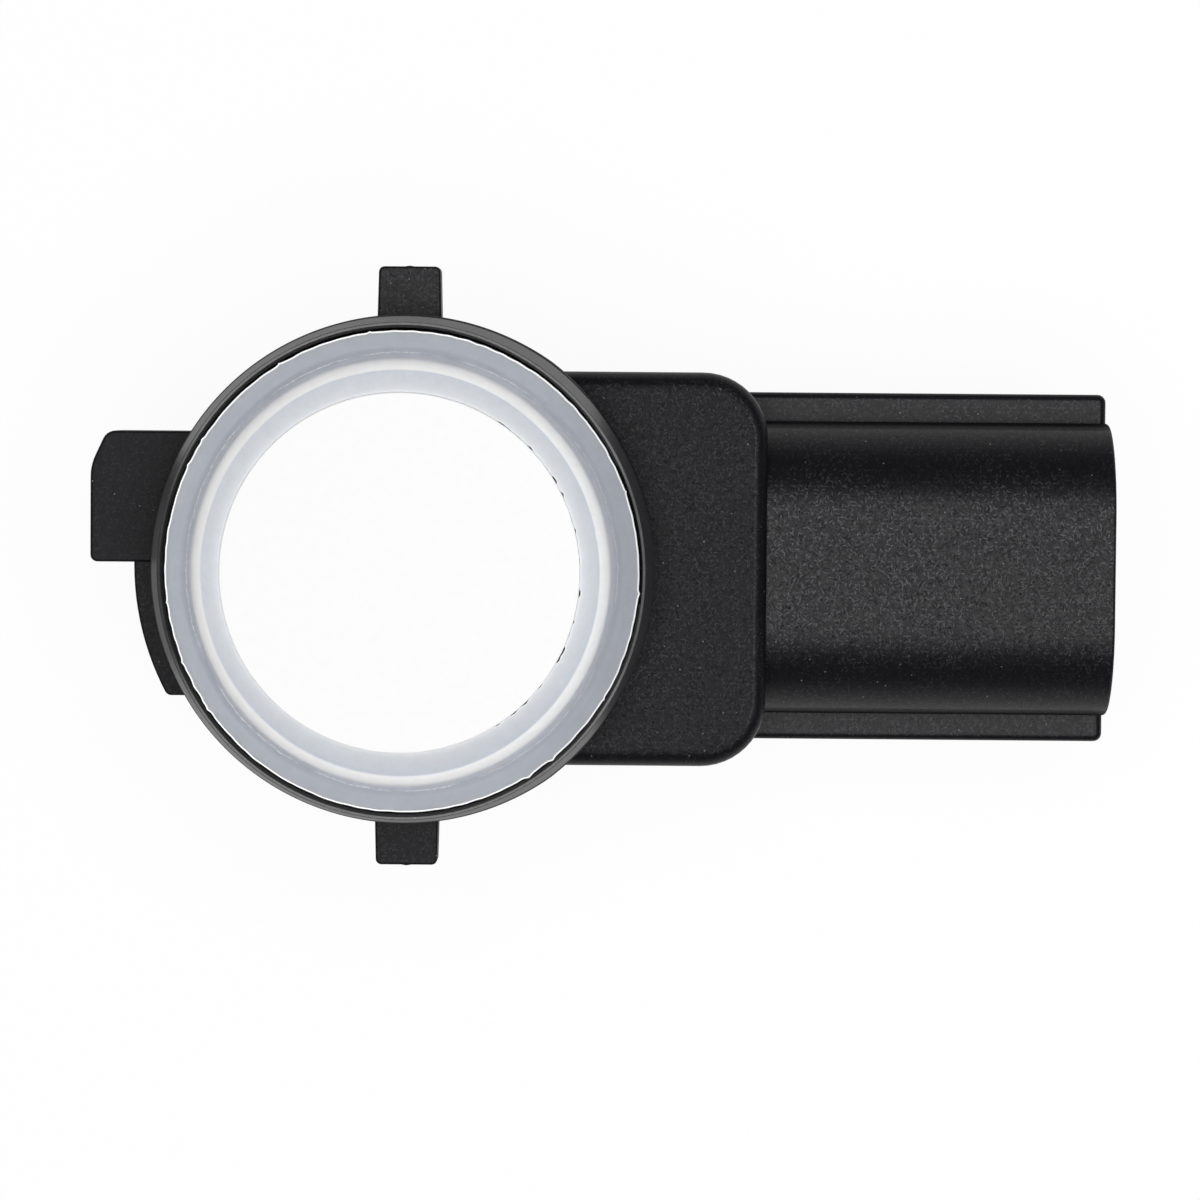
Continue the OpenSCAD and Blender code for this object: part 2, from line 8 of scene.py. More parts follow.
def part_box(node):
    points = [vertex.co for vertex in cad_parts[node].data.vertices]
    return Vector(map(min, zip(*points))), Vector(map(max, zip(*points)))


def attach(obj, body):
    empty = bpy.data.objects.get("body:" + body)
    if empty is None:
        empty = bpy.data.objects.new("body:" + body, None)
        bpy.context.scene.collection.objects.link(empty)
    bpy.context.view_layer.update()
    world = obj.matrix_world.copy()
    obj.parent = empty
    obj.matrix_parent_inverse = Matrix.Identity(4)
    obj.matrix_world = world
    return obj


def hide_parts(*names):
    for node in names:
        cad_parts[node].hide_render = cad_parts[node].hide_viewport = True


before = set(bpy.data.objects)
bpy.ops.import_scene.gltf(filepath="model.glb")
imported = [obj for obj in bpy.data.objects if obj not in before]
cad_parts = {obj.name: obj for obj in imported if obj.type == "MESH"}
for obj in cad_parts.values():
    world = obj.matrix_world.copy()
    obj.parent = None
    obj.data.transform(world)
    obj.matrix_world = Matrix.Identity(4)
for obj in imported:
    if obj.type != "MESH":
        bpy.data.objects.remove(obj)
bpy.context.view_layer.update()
scene = bpy.context.scene
scene.view_settings.view_transform = "Standard"
mm = 0.001


def boxOf(node):
    low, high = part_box(node)
    return np.array(low) / mm, np.array(high) / mm


housingLow, housingHigh = boxOf("housing")
ringHigh = boxOf("decoupling_ring")[1]
potLow, potHigh = boxOf("membrane_pot")
print("frame:", len(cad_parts), "CAD nodes")

# camera, at the photograph's viewing angle: almost straight down on the head, a little off its axis
cameraSetup = {
    "place": (9.663, 7.427, 203.688),  # mm
    "aim": (8.325, -1.040, 21.5),  # mm
    "roll": 0.008,  # radians
    "lens": 132.18,
    "sensor": 36.0,
    "clip": (0.01, 20.0),  # m
}


def setCamera(setup):
    # the view axis runs from place to aim, level with the frame's Y and then rolled about itself
    place = Vector(setup["place"]) * mm
    ahead = (Vector(setup["aim"]) * mm - place).normalized()
    right = ahead.cross(Vector((0, 1, 0))).normalized()
    up = right.cross(ahead)
    c, s = math.cos(setup["roll"]), math.sin(setup["roll"])
    right, up = c * right + s * up, c * up - s * right
    camera = bpy.data.cameras.new("photoCamera")
    camera.lens, camera.sensor_width, camera.sensor_fit = setup["lens"], setup["sensor"], "AUTO"
    camera.clip_start, camera.clip_end = setup["clip"]
    holder = bpy.data.objects.new("photoCamera", camera)
    holder.matrix_world = Matrix.Translation(place) @ Matrix((right, up, -ahead)).transposed().to_4x4()
    scene.collection.objects.link(holder)
    scene.camera = holder


setCamera(cameraSetup)
print("camera set")


def toLinear(code):
    # sRGB hex to linear light, with full alpha
    part = np.array([int(code[i:i + 2], 16) for i in (1, 3, 5)]) / 255
    light = np.where(part <= 0.04045, part / 12.92, ((part + 0.055) / 1.055) ** 2.4)
    return (*light.tolist(), 1.0)


def addNode(tree, kind, inputs=None, **settings):
    # one node: settings are its own options, inputs are values or sockets to link from
    node = tree.nodes.new(kind)
    for name, value in settings.items():
        setattr(node, name, value)
    for name, value in (inputs or {}).items():
        if isinstance(value, bpy.types.NodeSocket):
            tree.links.new(value, node.inputs[name])
        else:
            node.inputs[name].default_value = value
    return node


def maths(tree, operation, *values):
    return addNode(tree, "ShaderNodeMath", dict(enumerate(values)), operation=operation).outputs[0]


def product(tree, first, second):
    return maths(tree, "MULTIPLY", first, second)


def sumOf(tree, value, factor, rest):
    # value times factor, and the rest
    return maths(tree, "MULTIPLY_ADD", value, factor, rest)


def ranged(tree, value, low, high, start=0.0, stop=1.0):
    # start where the value is low, stop where it is high, even between and held beyond
    return addNode(tree, "ShaderNodeMapRange", {
        "Value": value, "From Min": low, "From Max": high, "To Min": start, "To Max": stop}).outputs[0]


def vectorMaths(tree, operation, *values):
    return addNode(tree, "ShaderNodeVectorMath", dict(enumerate(values)), operation=operation).outputs[0]


def blended(tree, share, first, second):
    # two colours, mixed by share
    return addNode(tree, "ShaderNodeMix", {0: share, 6: first, 7: second}, data_type="RGBA").outputs[2]


def noise(tree, place, size, detail, **settings):
    return addNode(tree, "ShaderNodeTexNoise", {
        "Vector": place, "Scale": 1 / size, "Detail": detail}, **settings).outputs[0]


def attribute(tree, name):
    return addNode(tree, "ShaderNodeAttribute", attribute_name=name).outputs["Fac"]


def bumped(tree, height, strength, depth):
    return addNode(tree, "ShaderNodeBump", {
        "Height": height, "Strength": strength, "Distance": depth * mm}).outputs[0]


def newMaterial(name):
    material = bpy.data.materials.new(name)
    material.use_nodes = True
    material.node_tree.nodes.clear()
    return material, material.node_tree


def endMaterial(tree, inputs):
    shader = addNode(tree, "ShaderNodeBsdfPrincipled", inputs)
    addNode(tree, "ShaderNodeOutputMaterial", {"Surface": shader.outputs[0]})


# studio: one overhead softbox, a dim room and a white table
studioSetup = {
    "boxHeight": 0.45,  # m
    "boxWidth": 0.46,  # m
    "boxCentre": (0.05, -0.025),  # m
    "boxRadiance": 4.6,
    "roomLight": (0.02, 0.085),  # towards -Y and towards +Y
    "tableSize": 6.0,  # m
    "tableDrop": 0.05,  # mm below the part, so that the two faces don't coincide
    "tableColour": "#f8f8f8",
    "tableWhite": 0.93,  # share of the table's white that camera and gloss see with no shadow in it
}


def setStudio(setup):
    lamp = bpy.data.lights.new("softbox", "AREA")
    lamp.shape, lamp.size = "DISK", setup["boxWidth"]
    lamp.energy = setup["boxRadiance"] * math.pi * math.pi * (setup["boxWidth"] / 2) ** 2
    holder = bpy.data.objects.new("softbox", lamp)
    holder.location = (*setup["boxCentre"], setup["boxHeight"])
    scene.collection.objects.link(holder)
    world = bpy.data.worlds.new("dimRoom")
    world.use_nodes = True
    tree = world.node_tree
    way = addNode(tree, "ShaderNodeTexCoord").outputs["Generated"]
    way = addNode(tree, "ShaderNodeSeparateXYZ", {0: way}).outputs[1]
    light = ranged(tree, way, -1.0, 1.0, *setup["roomLight"])
    background = tree.nodes["Background"]
    background.inputs["Color"].default_value = (1, 1, 1, 1)
    tree.links.new(light, background.inputs["Strength"])
    scene.world = world
    half, low = setup["tableSize"] / 2, -setup["tableDrop"] * mm
    corners = [(x * half, y * half, low) for x, y in ((-1, -1), (1, -1), (1, 1), (-1, 1))]
    mesh = bpy.data.meshes.new("whiteTable")
    mesh.from_pydata(corners, [], [(0, 1, 2, 3)])
    table = bpy.data.objects.new("whiteTable", mesh)
    scene.collection.objects.link(table)
    material, tree = newMaterial("sprayedWhiteTable")
    rays = addNode(tree, "ShaderNodeLightPath").outputs
    seen = rays["Is Camera Ray"]
    for ray in ("Is Glossy Ray", "Is Transmission Ray"):
        seen = maths(tree, "MAXIMUM", seen, rays[ray])
    share = product(tree, seen, setup["tableWhite"])
    paint = addNode(tree, "ShaderNodeBsdfDiffuse", {"Color": toLinear(setup["tableColour"])}).outputs[0]
    glow = addNode(tree, "ShaderNodeEmission", {"Color": (1, 1, 1, 1), "Strength": 1.0}).outputs[0]
    mix = addNode(tree, "ShaderNodeMixShader", {0: share, 1: paint, 2: glow}).outputs[0]
    addNode(tree, "ShaderNodeOutputMaterial", {"Surface": mix})
    table.data.materials.append(material)


setStudio(studioSetup)
print("studio set")

# PBT with glass fibre, moulded in a spark-eroded tool: a dull black skin with a fine swirling grain, in
# which short fibres near the surface show as paler flecks and a few fibre ends as bright points
plasticSetup = {
    "skin": ("#0a0a0d", "#16161a"),  # in the grain's pits and on its crests
    "fibre": "#3f4044",
    "point": "#77787b",
    "nets": ((0.17, 0.55, 0.0), (0.23, 0.6, 7.3)),  # mm between fibres, share shown, shift
    "fibreWidth": 0.035,  # mm, about one pixel, because a real fibre is too fine to show
    "fibreLength": 0.20,  # mm
    "fibreBow": 0.4,
    "fibreCore": 0.3,  # share of its half width that shows in full
    "fibreEnds": (0.5, 1.2),  # shares of its half length between which it fades out
    "fibresSeen": (0.7, 0.3),  # share that a finer tool adds, and share on a dead matt face
    "pointSpacing": 0.55,  # mm
    "pointSize": (0.03, 0.07),  # shares of the spacing between which a point fades out
    "pointChance": (0.9, 1.0),  # the few cells that have one
    "grain": 0.15,  # mm
    "grainSwirl": 1.5,
    "grainLevels": (0.25, 0.75),  # noise in the pits and on the crests
    "plainGrain": 0.55,  # even level of the grain where the tool is smooth
    "mottle": 4.0,  # mm
    "mottleLevels": (0.35, 0.65),  # noise between which fibres come up to the surface
    "mottleFibres": (0.2, 1.0),  # share of the fibres seen there
    "mottleRough": 0.06,
    "relief": (0.8, 0.1, 0.7),  # height of the grain, of its pits and of a fibre
    "reliefTop": 1.3,  # height at which the gloss is full
    "gloss": (0.026, 0.312),  # specular level in the grain's pits and on its crests
    "sheenFull": 0.2,  # a face less fine than this loses gloss
    "roughness": (0.58, 0.35),  # on dull faces and on fine ones
    "bump": (0.2, 0.01),  # strength, and mm
}


def glassFilledPlastic(name, setup):
    material, tree = newMaterial(name)
    place = addNode(tree, "ShaderNodeUVMap", uv_map="grainMap").outputs[0]  # millimetres on the surface
    finish = attribute(tree, "finish")  # 0 dead matt, 1 fine
    coarse = attribute(tree, "coarse")  # 0 smooth, 1 grained
    mottle = noise(tree, place, setup["mottle"], detail=3.0, noise_dimensions="2D")
    grain = addNode(tree, "ShaderNodeTexNoise", {
        "Vector": place, "Scale": 1 / setup["grain"], "Detail": 2.0, "Distortion": setup["grainSwirl"]},
        noise_dimensions="2D").outputs[0]
    grain = ranged(tree, grain, *setup["grainLevels"])
    grain = addNode(tree, "ShaderNodeMix", {0: coarse, 2: setup["plainGrain"], 3: grain}).outputs[0]
    fibres = 0.0
    for spacing, share, shift in setup["nets"]:
        # one bowed fibre in each cell of a Voronoi net, turned by the cell's own random number
        spot = vectorMaths(tree, "MULTIPLY_ADD", place, (1 / spacing,) * 3, (shift,) * 3)
        net = addNode(tree, "ShaderNodeTexVoronoi", {"Vector": spot, "Scale": 1.0},
                      voronoi_dimensions="2D").outputs
        chance = addNode(tree, "ShaderNodeSeparateColor", {0: net["Color"]}).outputs
        turn = product(tree, chance[0], 2 * math.pi)
        offset = vectorMaths(tree, "SUBTRACT", spot, net["Position"])
        laid = addNode(tree, "ShaderNodeVectorRotate", {"Vector": offset, "Angle": turn},
                       rotation_type="Z_AXIS").outputs[0]
        axes = addNode(tree, "ShaderNodeSeparateXYZ", {0: laid}).outputs
        side = sumOf(tree, maths(tree, "POWER", axes[0], 2.0), setup["fibreBow"], axes[1])
        across, along = maths(tree, "ABSOLUTE", side), maths(tree, "ABSOLUTE", axes[0])
        half, reach = setup["fibreWidth"] / spacing, setup["fibreLength"] / 2 / spacing
        full, gone = setup["fibreEnds"]
        thin = ranged(tree, across, setup["fibreCore"] * half, half, 1.0, 0.0)
        short = ranged(tree, along, full * reach, gone * reach, 1.0, 0.0)
        shown = ranged(tree, chance[1], 1 - share, 1.0)
        fibre = product(tree, product(tree, thin, short), shown)
        fibres = maths(tree, "MAXIMUM", fibres, fibre)
    fibres = product(tree, fibres, coarse)
    points = addNode(tree, "ShaderNodeTexVoronoi", {"Vector": place, "Scale": 1 / setup["pointSpacing"]},
                     voronoi_dimensions="2D").outputs
    chance = addNode(tree, "ShaderNodeSeparateColor", {0: points["Color"]}).outputs[2]
    dot = ranged(tree, points["Distance"], *setup["pointSize"], 1.0, 0.0)
    dot = product(tree, dot, ranged(tree, chance, *setup["pointChance"]))
    depth = ranged(tree, mottle, *setup["mottleLevels"], *setup["mottleFibres"])
    plenty = sumOf(tree, finish, *setup["fibresSeen"])
    seen = product(tree, fibres, product(tree, depth, plenty))
    skin = blended(tree, grain, *map(toLinear, setup["skin"]))
    colour = blended(tree, seen, skin, toLinear(setup["fibre"]))
    colour = blended(tree, dot, colour, toLinear(setup["point"]))
    grainHigh, pitHigh, fibreHigh = setup["relief"]
    crest = sumOf(tree, fibres, fibreHigh, sumOf(tree, grain, grainHigh, pitHigh))
    gloss = ranged(tree, crest, 0.0, setup["reliefTop"], *setup["gloss"])
    gloss = product(tree, gloss, ranged(tree, finish, 0.0, setup["sheenFull"]))
    rough = ranged(tree, finish, 0.0, 1.0, *setup["roughness"])
    rough = sumOf(tree, mottle, setup["mottleRough"], rough)
    endMaterial(tree, {"Base Color": colour, "Roughness": rough, "Specular IOR Level": gloss,
                       "Normal": bumped(tree, crest, *setup["bump"])})
    return material


housingPlastic = glassFilledPlastic("glassFilledPbtMoulded", plasticSetup)

# the same plastic where the tool is polished so that the head slides in: smooth enough to show the table;
# its skin and fibres are painted paler, a painted sheen of that reflection
polishedSheenSetup = dict(plasticSetup, skin=("#2a2a2c", "#363638"), fibre="#434447", gloss=(0.4, 0.6),
                     roughness=(0.34, 0.26))
leadInSheenPlastic = glassFilledPlastic("glassFilledPbtPolishedPaintedSheen", polishedSheenSetup)

# liquid silicone rubber, moulded: milky and lit through, greyer where it lies over the black tube, painted
# light beside the pot, on the collar and to the left, a painted highlight on the outer edge, painted shade
# beside the box and on the slope towards -Y, and a fine broken mould line round the lip
siliconeSetup = {
    # painted light in the bands: lighter beside the pot (7.45 to 7.62) and on the collar (8.41 to 8.72),
    # and a painted white highlight at the outer edge (9.98); the grey lip between is the ring's own tone
    # over the black tube
    "bands": ((7.45, "#ebedf0"), (7.62, "#dcdfe4"), (7.8, "#dadee4"), (8.36, "#d3d8e1"), (8.41, "#f2f5ff"),
              (8.72, "#f2f5ff"), (8.95, "#d8dbe2"), (9.1, "#bcc0c8"), (9.3, "#adb1b9"), (9.6, "#a7abb3"),
              (9.95, "#a8acb3"), (9.98, "#ffffff")),  # mm from the axis
    "depth": 2.0,  # mm that light travels in it
    "inner": (7.6, 8.2),  # mm from the axis, where the wedge beside the pot grows thick enough to glow
    "edge": (9.95, 9.98),  # mm from the axis, where the subsurface fades out at the thin outer edge, under its painted white highlight
    "cloud": 2.5,  # mm
    "waver": 0.6,  # mm
    "grain": 0.2,  # mm
    "uneven": (0.12, 0.90, 0.08),  # shade that waver adds, shade without it, and what grain adds
    "mouldLine": 9.12,  # mm from the axis
    "lineWander": 0.16,  # mm
    "lineWidth": (0.012, 0.034),  # mm, half widths between which it fades out
    "lineBreaks": ((0.35, 0.62), (0.42, 0.52)),  # noise between which it appears: grain, and cloud
    "lineLeast": 0.25,  # what shows of it between the grains
    "lineColour": "#f4f5f8",
    "lineHigh": 0.6,
    "faint": (8.0, 0.4),  # mm towards the box, and how much of the mould line shows there
    "paintedLeftLight": (9.0, 0.11),  # painted light: mm to the left, and how much lighter it is painted there than beside the box
    # painted shade, on the lip beside the box and on the slope towards -Y: axis, mm along it, mm from the
    # head's axis, and share of light lost
    "paintedShadeLip": (0, (5.0, 9.5), (8.8, 9.0), 0.16),
    "paintedShadeSlope": (1, (-2.0, -7.0), (8.45, 8.4), 0.11),
    "gloss": 0.2,
    "roughLevels": (0.3, 0.7),  # cloud noise at the two roughnesses
    "roughness": (0.36, 0.5),
    "bump": (0.3, 0.01),  # strength, and mm
    "refraction": 1.41,
}


def mouldedSilicone(name, setup):
    material, tree = newMaterial(name)
    place = addNode(tree, "ShaderNodeTexCoord").outputs["Object"]
    flat = vectorMaths(tree, "MULTIPLY", place, (1 / mm, 1 / mm, 0))
    axes = addNode(tree, "ShaderNodeSeparateXYZ", {0: flat}).outputs
    radius = attribute(tree, "sectionRadius")  # mm from the axis
    cloud = noise(tree, flat, setup["cloud"], detail=3.0)
    waver = noise(tree, flat, setup["waver"], detail=3.0)
    grain = noise(tree, flat, setup["grain"], detail=2.0)
    first, last = setup["bands"][0][0], setup["bands"][-1][0]
    ramp = addNode(tree, "ShaderNodeValToRGB", {0: ranged(tree, radius, first, last)})
    stops = ramp.color_ramp.elements
    while len(stops) < len(setup["bands"]):
        stops.new(0.5)
    for stop, (where, code) in zip(stops, setup["bands"]):
        stop.position, stop.color = (where - first) / (last - first), toLinear(code)
    middle = setup["mouldLine"] + setup["lineWander"] / 2
    line = maths(tree, "SUBTRACT", sumOf(tree, waver, setup["lineWander"], radius), middle)
    line = ranged(tree, maths(tree, "ABSOLUTE", line), *setup["lineWidth"], 1.0, 0.0)
    line = product(tree, line, ranged(tree, grain, *setup["lineBreaks"][0], setup["lineLeast"], 1.0))
    line = product(tree, line, ranged(tree, cloud, *setup["lineBreaks"][1]))
    boxSide, least = setup["faint"]
    line = product(tree, line, ranged(tree, axes[0], 0.0, boxSide, 1.0, least))
    wavering, even, graining = setup["uneven"]
    shade = sumOf(tree, grain, graining, sumOf(tree, waver, wavering, even))
    # painted light, lighter to the left, away from the box
    leftEnd, leftLight = setup["paintedLeftLight"]
    shade = product(tree, shade, ranged(tree, axes[0], leftEnd, -leftEnd, 1.0, 1 + leftLight))
    # painted shade, darker on the lip beside the box and on the slope towards -Y
    for axis, span, reach, loss in (setup["paintedShadeLip"], setup["paintedShadeSlope"]):
        along = ranged(tree, axes[axis], *span, 0.0, -loss)
        shade = product(tree, shade, sumOf(tree, along, ranged(tree, radius, *reach), 1.0))
    colour = addNode(tree, "ShaderNodeVectorMath", {0: ramp.outputs[0], "Scale": shade},
                     operation="SCALE").outputs[0]
    colour = blended(tree, line, colour, toLinear(setup["lineColour"]))
    height = sumOf(tree, line, setup["lineHigh"], grain)
    thick = ranged(tree, radius, *setup["inner"])
    milky = product(tree, thick, ranged(tree, radius, *setup["edge"], 1.0, 0.0))
    endMaterial(tree, {
        "Base Color": colour, "Roughness": ranged(tree, cloud, *setup["roughLevels"], *setup["roughness"]),
        "Normal": bumped(tree, height, *setup["bump"]), "Specular IOR Level": setup["gloss"],
        "IOR": setup["refraction"], "Subsurface Weight": milky, "Subsurface Radius": (1.0, 1.0, 1.0),
        "Subsurface Scale": setup["depth"] * mm})
    return material


silicone = mouldedSilicone("siliconeMoulded", siliconeSetup)

# what the plainer surfaces have in common; each may set its own gloss and metal
speckleSetup = {
    "levels": (0.3, 0.7),  # noise at the two colours
    "bump": 0.3,
    "gloss": 0.3,
    "metal": 0.0,
}


def speckledSurface(name, setup):
    # two close colours and two roughnesses mixed by one noise, which also raises the surface a little
    setup = {**speckleSetup, **setup}
    material, tree = newMaterial(name)
    place = addNode(tree, "ShaderNodeTexCoord").outputs["Object"]
    spot = vectorMaths(tree, "MULTIPLY", place, tuple(1 / (mm * size) for size in setup["grain"]))
    grain = ranged(tree, noise(tree, spot, 1.0, detail=3.0), *setup["levels"])
    endMaterial(tree, {
        "Base Color": blended(tree, grain, *map(toLinear, setup["colours"])),
        "Roughness": ranged(tree, grain, 0.0, 1.0, *setup["roughness"]),
        "Normal": bumped(tree, grain, setup["bump"], setup["relief"]),
        "Metallic": setup["metal"], "Specular IOR Level": setup["gloss"]})
    return material


# primer sprayed on the membrane: an even dull white with a trace of orange peel
paintSetup = {"colours": ("#f2f2f2", "#f4f4f4"), "grain": (0.5, 0.5, 0.5), "roughness": (0.5, 0.56),
              "relief": 0.004}
membranePaint = speckledSurface("whitePrimerSprayed", paintSetup)
print("materials made")


def softPath(corners, radii, steps, closed=True):
    # a line of straight sides whose corners are arcs: each arc's centre lies one radius inside both sides,
    # and its normal turns evenly from the first side's to the second's; a closed line runs
    # counter-clockwise
    corner, radius = np.asarray(corners, float), np.broadcast_to(np.asarray(radii, float), len(corners))
    after = np.roll(corner, -1, 0)
    if closed and (corner[:, 0] * after[:, 1] - corner[:, 1] * after[:, 0]).sum() < 0:
        corner, radius = corner[::-1], radius[::-1]
    into, away = corner - np.roll(corner, 1, 0), np.roll(corner, -1, 0) - corner
    into /= np.linalg.norm(into, axis=1, keepdims=True)
    away /= np.linalg.norm(away, axis=1, keepdims=True)
    turn = np.arctan2(into[:, 0] * away[:, 1] - into[:, 1] * away[:, 0], (into * away).sum(1))
    side = np.stack([into[:, 1], -into[:, 0]], 1)
    reach = np.sign(turn) * radius
    centre = corner - (radius * np.tan(np.abs(turn) / 2))[:, None] * into - reach[:, None] * side
    angle = np.arctan2(side[:, 1], side[:, 0])[:, None] + turn[:, None] * np.linspace(0, 1, steps + 1)
    normal = np.stack([np.cos(angle), np.sin(angle)], -1)
    point = centre[:, None] + reach[:, None, None] * normal
    if closed:
        return point.reshape(-1, 2), normal.reshape(-1, 2)
    point = np.vstack([corner[:1], point[1:-1].reshape(-1, 2), corner[-1:]])
    normal = np.vstack([side[1:2], normal[1:-1].reshape(-1, 2), side[-1:]])
    return point, normal


def quads(rows, columns, closedRows):
    # a rows by columns grid, closed along each row and, if asked, from the last row to the first
    index = np.arange(rows * columns).reshape(rows, columns)
    index = np.hstack([index, index[:, :1]])
    index = np.vstack([index, index[:1]]) if closedRows else index
    return np.stack([index[:-1, :-1], index[:-1, 1:], index[1:, 1:], index[1:, :-1]], -1).reshape(-1, 4)


def turned(profile, count):
    # a closed profile of radius and height, carried round Z
    point, normal = profile
    angle = np.linspace(0, 2 * np.pi, count, endpoint=False)
    c, s = np.cos(angle), np.sin(angle)
    place = np.stack([point[:, :1] * c, point[:, :1] * s, point[:, 1:] + 0 * c], -1)
    facing = np.stack([normal[:, :1] * c, normal[:, :1] * s, normal[:, 1:] + 0 * c], -1)
    return place.reshape(-1, 3), facing.reshape(-1, 3), quads(len(point), count, True), []


def carried(outline, profile, axes=(0, 1, 2)):
    # an open profile of outward offset and height, carried round a closed outline: point = outline + offset
    # along the outline's normal, raised by height; both ends are closed by a flat face
    step, stepNormal = profile
    if callable(outline):  # an outline that is drawn anew at every offset
        line, lineNormal = (np.stack(rows) for rows in zip(*(outline(offset) for offset in step[:, 0])))
    else:
        line, lineNormal = outline[0] + step[:, None, :1] * outline[1], np.stack([outline[1]] * len(step))
    count = line.shape[1]
    rise = np.broadcast_to(step[:, None, 1:], (len(step), count, 1))
    riseNormal = np.broadcast_to(stepNormal[:, None, 1:], (len(step), count, 1))
    place = np.concatenate([line, rise], -1).reshape(-1, 3)
    facing = np.concatenate([stepNormal[:, None, :1] * lineNormal, riseNormal], -1).reshape(-1, 3)
    order, up = np.argsort(axes), np.eye(3)[axes[2]]
    first = np.arange(count)
    ends = [(first[::-1], -up), (first + (len(step) - 1) * count, up)]
    return place[:, order], facing[:, order], quads(len(step), count, False), ends


def circle(radius, count):
    angle = np.linspace(0, 2 * np.pi, count, endpoint=False)
    ring = np.stack([np.cos(angle), np.sin(angle)], 1)
    return radius * ring, ring


flatMargin = 0.02  # mm of flat face inside a rounded edge, before the face that closes the end


def plate(corners, radii, low, high, edge, steps=5, axes=(0, 1, 2)):
    # a flat plate: its outline carried up from low to high with both edges rounded
    inset = edge + flatMargin
    return carried(softPath(corners, radii, steps=5), softPath(
        [(-inset, low), (0, low), (0, high), (-inset, high)], edge, steps, closed=False), axes)


mapApart = 40.0  # mm between the three directions on the grain's map


def surfaceMap(mesh):
    # every face is laid flat in millimetres on the two axes that it faces away from most
    normal, total = np.empty(len(mesh.polygons) * 3), np.empty(len(mesh.polygons), int)
    vertex, place = np.empty(len(mesh.loops), int), np.empty(len(mesh.vertices) * 3)
    mesh.polygons.foreach_get("normal", normal)
    mesh.polygons.foreach_get("loop_total", total)
    mesh.loops.foreach_get("vertex_index", vertex)
    mesh.vertices.foreach_get("co", place)
    facing = np.repeat(np.abs(normal.reshape(-1, 3)).argmax(1), total)
    point = place.reshape(-1, 3)[vertex] / mm
    first = np.where(facing == 0, point[:, 1], point[:, 0])
    second = np.where(facing == 2, point[:, 1], point[:, 2])
    layer = mesh.uv_layers.new(name="grainMap")
    layer.data.foreach_set("uv", np.stack([first, second + mapApart * facing], 1).ravel())


def buildPiece(name, shells, finishes, material, nodes):
    # joins closed shells into one mesh, with each corner's normal taken from the formula that made it
    places, faces, normals, marks, base = [], [], [], [], 0
    for (place, facing, quad, ends), finish in zip(shells, finishes):
        places.append(place)
        faces += (quad + base).tolist() + [(end + base).tolist() for end, _ in ends]
        normals.append(facing[quad].reshape(-1, 3))
        normals += [np.broadcast_to(way, (len(end), 3)) for end, way in ends]
        marks += [finish] * (len(quad) + len(ends))
        base += len(place)
    mesh = bpy.data.meshes.new(name)
    mesh.from_pydata((np.vstack(places) * mm).tolist(), [], faces)
    mesh.polygons.foreach_set("use_smooth", np.ones(len(faces), bool))
    mesh.attributes.new("finish", "FLOAT", "FACE").data.foreach_set("value", np.array(marks, np.float32))
    facing = np.vstack(normals)
    mesh.normals_split_custom_set((facing / np.linalg.norm(facing, axis=1, keepdims=True)).tolist())
    mesh.materials.append(material)
    surfaceMap(mesh)
    piece = bpy.data.objects.new(name, mesh)
    scene.collection.objects.link(piece)
    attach(piece, "root")
    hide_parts(*nodes)
    print(name, len(faces), "faces")
    return piece


# head tube, in millimetres: radius and height of its section, and the rounding of each corner
rimZ = housingHigh[2]
headTube = {
    "section": ((6.0, 9.2, 0.05), (10.08, 9.2, 0.1), (10.33, 9.45, 0.1), (10.58, 15.35, 0.03),
                (10.77, 15.35, 0.03), (10.77, 17.85, 1.5), (10.3, rimZ, 0.04), (10.17, rimZ, 0.03),
                (10.08, rimZ - 0.3, 0.1), (10.08, 17.7, 0.05), (9.6, 17.7, 0.05), (9.6, 10.4, 0.2),
                (6.0, 10.4, 0.05)),
    "polishedFrom": ((6.0, 18.1), (8.0, 18.05), (10.2, 17.6)),  # X, and the height where polish begins
    "polishedOutside": 10.05,  # radius
    "polish": ((17.9, 0.04), (18.6, 0.2), (18.7, 0.9)),  # height on the taper, and how fine the tool is
    "dullSide": ((-9.8, 0.025), (-8.5, 0.2), (-8.4, 0.9), (6.0, 0.9), (9.5, 0.11)),  # X, and finest there
    "spread": (0.085, 1.2),  # how far the rim's inner edge stands out away from the box, and how soon
    "rimFrom": (9.65, 17.5),  # radius and height from which the rim is oval
    "rimFade": (10.7, 0.4),  # radius at which it is round again, and over how much that comes about
    "band": 0.19,  # how far the seat band stands out, which fades away beside the box
    "bandFrom": 15.3,  # height
    "bandFade": (10.3, 0.47),  # radius at which it begins, and over how much
    "bandBack": (55, 25),  # degrees from the box at which it is back, and over how many
    "leftIn": 0.055,  # how far the seat band draws in at the far left
    "count": 384,
}
ovalSetup = {"even": -0.008, "wide": 0.0775, "slant": 0.02, "low": 0.03}  # mm


def ovalShift(angle):
    # the rim and the soft ring in it are a little oval: mm outward, least to left and right, most at the
    # bottom
    twice = ovalSetup["wide"] * np.cos(2 * angle) + ovalSetup["slant"] * np.sin(2 * angle)
    return ovalSetup["even"] - twice - ovalSetup["low"] * np.sin(angle)


def ramped(value, fade):
    # 0 before the fade begins, 1 once it is over, even between; a fade is its begin and its width
    return np.clip((value - fade[0]) / fade[1], 0, 1)


